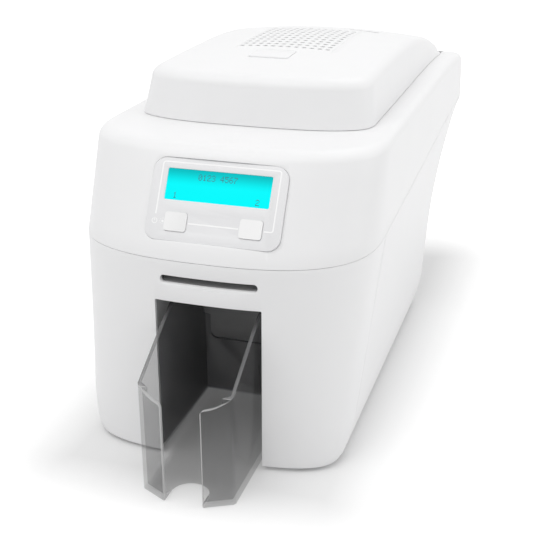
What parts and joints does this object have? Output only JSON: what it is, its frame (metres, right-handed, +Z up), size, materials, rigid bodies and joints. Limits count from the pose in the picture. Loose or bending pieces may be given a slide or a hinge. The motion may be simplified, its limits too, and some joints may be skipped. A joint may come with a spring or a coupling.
{
  "type": "id card printer",
  "caption": "Desktop plastic card printer with hinged hood, rear card feeder, hand-feed slot, display panel and clear output hopper.",
  "frame": {"origin": "centre of the bounding box at table level, under the feet", "axes": "+Z up, -Y towards the front with the panel and hopper, +X to the right seen from above with the front below"},
  "size_m": [0.206, 0.504, 0.2498],
  "materials": {
    "white_shell": "fine moulded texture",
    "grey_panel": "satin",
    "key_cap": "satin",
    "display": "lit cyan display behind a clear window",
    "smoked_clear": "clear smoked moulding",
    "dark_liner": "moulded",
    "grey_liner": "moulded",
    "dark_plastic": "moulded",
    "steel_sheet": "zinc plated sheet",
    "bright_shaft": "ground steel",
    "rubber_foot": "soft rubber",
    "roller_rubber": "ground rubber on a steel shaft",
    "belt_rubber": "toothed belt",
    "cleaning_sleeve": "tacky sleeve",
    "bronze_bush": "sintered bronze",
    "pinion_brass": "cut brass",
    "gear_plastic": "acetal",
    "motor_can": "black motor case",
    "spool_plastic": "moulded",
    "dye_film": "wound dye film",
    "used_film": "wound used film",
    "white_card": "blank plastic cards",
    "circuit_board": "green board with parts",
    "ceramic_head": "ceramic print head",
    "bare_aluminium": "bare extrusion"
  },
  "bodies": {
    "body": {"base_tray": "steel_sheet", "rubber_feet": "rubber_foot", "lower_housing": "white_shell", "front_fascia": "white_shell", "upper_housing": "white_shell", "hopper_bay": "grey_liner", "card_slot_guide": "dark_liner", "control_panel": "grey_panel", "display_window": "display", "display_module": "dark_plastic", "key_board": "circuit_board", "side_frame_left": "steel_sheet", "side_frame_right": "steel_sheet", "tie_bars": "bright_shaft", "shaft_bushes": "bronze_bush", "drive_belts": "belt_rubber", "drive_motor": "motor_can", "card_guides": "dark_liner", "exit_chute": "dark_liner", "ribbon_motor": "motor_can", "card_tray": "grey_liner", "card_stack": "white_card", "main_board": "circuit_board", "power_supply": "circuit_board", "power_inlet": "dark_plastic", "interface_sockets": "bright_shaft", "hinge_brackets": "steel_sheet", "hinge_pins": "bright_shaft", "latch_pins": "bright_shaft", "frame_screws": "bright_shaft"},
    "hood": {"top_cover": "white_shell", "vent_grille": "white_shell", "cover_frame": "grey_liner", "head_bracket": "steel_sheet", "printhead": "ceramic_head", "heat_sink": "bare_aluminium", "fan_frame": "dark_plastic"},
    "lid": {"feeder_lid": "white_shell"},
    "button": {"release_button": "white_shell"},
    "hook": {"latch_hook": "steel_sheet"},
    "rotor": {"fan_rotor": "dark_plastic"},
    "left_key_body": {"left_key": "key_cap"},
    "right_key_body": {"right_key": "key_cap"},
    "rocker": {"power_rocker": "dark_plastic"},
    "hopper": {"output_hopper": "smoked_clear"},
    "weight": {"card_weight": "dark_plastic"},
    "platen": {"platen_roller": "roller_rubber", "platen_gear": "gear_plastic"},
    "motor_pinion_body": {"motor_pinion": "pinion_brass"},
    "entry": {"entry_roller": "roller_rubber"},
    "exit": {"exit_roller": "roller_rubber"},
    "pick": {"pick_roller": "roller_rubber"},
    "cleaner": {"cleaning_roller": "cleaning_sleeve"},
    "pinch": {"pinch_roller": "roller_rubber"},
    "takeup": {"takeup_core": "spool_plastic", "takeup_film": "used_film", "takeup_gear": "gear_plastic"},
    "supply": {"supply_core": "spool_plastic", "supply_film": "dye_film"},
    "ribbon_pinion_body": {"ribbon_pinion": "pinion_brass"}
  },
  "joints": [
    {"name": "hood_hinge", "type": "hinge", "parent": "body", "child": "hood", "pos_m": [0, 0.22, 0.206], "axis": [-1, 0, 0], "range_deg": [0, 60]},
    {"name": "feeder_lid_hinge", "type": "hinge", "parent": "hood", "child": "lid", "pos_m": [0, 0.192, 0.22164], "axis": [-1, 0, 0], "range_deg": [0, 65]},
    {"name": "release_press", "type": "slide", "parent": "hood", "child": "button", "axis": [0, 0, -1], "range_m": [0, 0.0025], "stiffness_N_per_m": 400, "springref_m": -0.002},
    {"name": "latch_swing", "type": "hinge", "parent": "hood", "child": "hook", "pos_m": [0, -0.048, 0.228], "axis": [-1, 0, 0], "range_deg": [0, 12]},
    {"name": "fan_spin", "type": "hinge", "parent": "hood", "child": "rotor", "pos_m": [0, 0.036, 0.234], "axis": [0, 0, 1], "continuous": true},
    {"name": "left_key_press", "type": "slide", "parent": "body", "child": "left_key_body", "axis": [0, 0.865, -0.5017], "range_m": [0, 0.0008], "stiffness_N_per_m": 1500, "springref_m": -0.0005},
    {"name": "right_key_press", "type": "slide", "parent": "body", "child": "right_key_body", "axis": [0, 0.865, -0.5017], "range_m": [0, 0.0008], "stiffness_N_per_m": 1500, "springref_m": -0.0005},
    {"name": "power_switch", "type": "hinge", "parent": "body", "child": "rocker", "pos_m": [-0.022, 0.101, 0.042], "axis": [-1, 0, 0], "range_deg": [0, 14]},
    {"name": "hopper_slide", "type": "slide", "parent": "body", "child": "hopper", "axis": [0, -1, 0], "range_m": [0, 0.07]},
    {"name": "weight_lift", "type": "slide", "parent": "body", "child": "weight", "axis": [0, -0.3007, 0.9537], "range_m": [0, 0.02]},
    {"name": "platen_spin", "type": "hinge", "parent": "body", "child": "platen", "pos_m": [0.0045, -0.03, 0.124], "axis": [1, 0, 0], "continuous": true},
    {"name": "motor_spin", "type": "hinge", "parent": "body", "child": "motor_pinion_body", "pos_m": [0.0045, -0.014, 0.09629], "axis": [1, 0, 0], "continuous": true},
    {"name": "entry_spin", "type": "hinge", "parent": "body", "child": "entry", "pos_m": [0.0045, 0.062, 0.126], "axis": [1, 0, 0], "continuous": true},
    {"name": "exit_spin", "type": "hinge", "parent": "body", "child": "exit", "pos_m": [0.0045, -0.1, 0.126], "axis": [1, 0, 0], "continuous": true},
    {"name": "pick_spin", "type": "hinge", "parent": "body", "child": "pick", "pos_m": [0.0045, 0.1212, 0.1385], "axis": [1, 0, 0], "continuous": true},
    {"name": "cleaner_spin", "type": "hinge", "parent": "body", "child": "cleaner", "pos_m": [0.0045, 0.062, 0.1419], "axis": [1, 0, 0], "continuous": true},
    {"name": "pinch_spin", "type": "hinge", "parent": "body", "child": "pinch", "pos_m": [0.0045, -0.1, 0.1393], "axis": [1, 0, 0], "continuous": true},
    {"name": "takeup_spin", "type": "hinge", "parent": "body", "child": "takeup", "pos_m": [0.0045, -0.082, 0.176], "axis": [1, 0, 0], "continuous": true},
    {"name": "supply_spin", "type": "hinge", "parent": "body", "child": "supply", "pos_m": [0.0045, 0.022, 0.178], "axis": [1, 0, 0], "continuous": true},
    {"name": "ribbon_motor_spin", "type": "hinge", "parent": "body", "child": "ribbon_pinion_body", "pos_m": [0.0045, -0.1018, 0.1562], "axis": [1, 0, 0], "continuous": true}
  ],
  "couplings": [
    {"joint": "latch_swing", "follows": "release_press", "rad_per_m": 83},
    {"joint": "motor_spin", "follows": "platen_spin", "ratio": -3},
    {"joint": "entry_spin", "follows": "platen_spin", "ratio": 1},
    {"joint": "exit_spin", "follows": "platen_spin", "ratio": 1},
    {"joint": "pick_spin", "follows": "platen_spin", "ratio": 1},
    {"joint": "cleaner_spin", "follows": "platen_spin", "ratio": -0.89744},
    {"joint": "pinch_spin", "follows": "platen_spin", "ratio": -1.4},
    {"joint": "supply_spin", "follows": "takeup_spin", "ratio": 0.75758},
    {"joint": "ribbon_motor_spin", "follows": "takeup_spin", "ratio": -2.5}
  ]
}
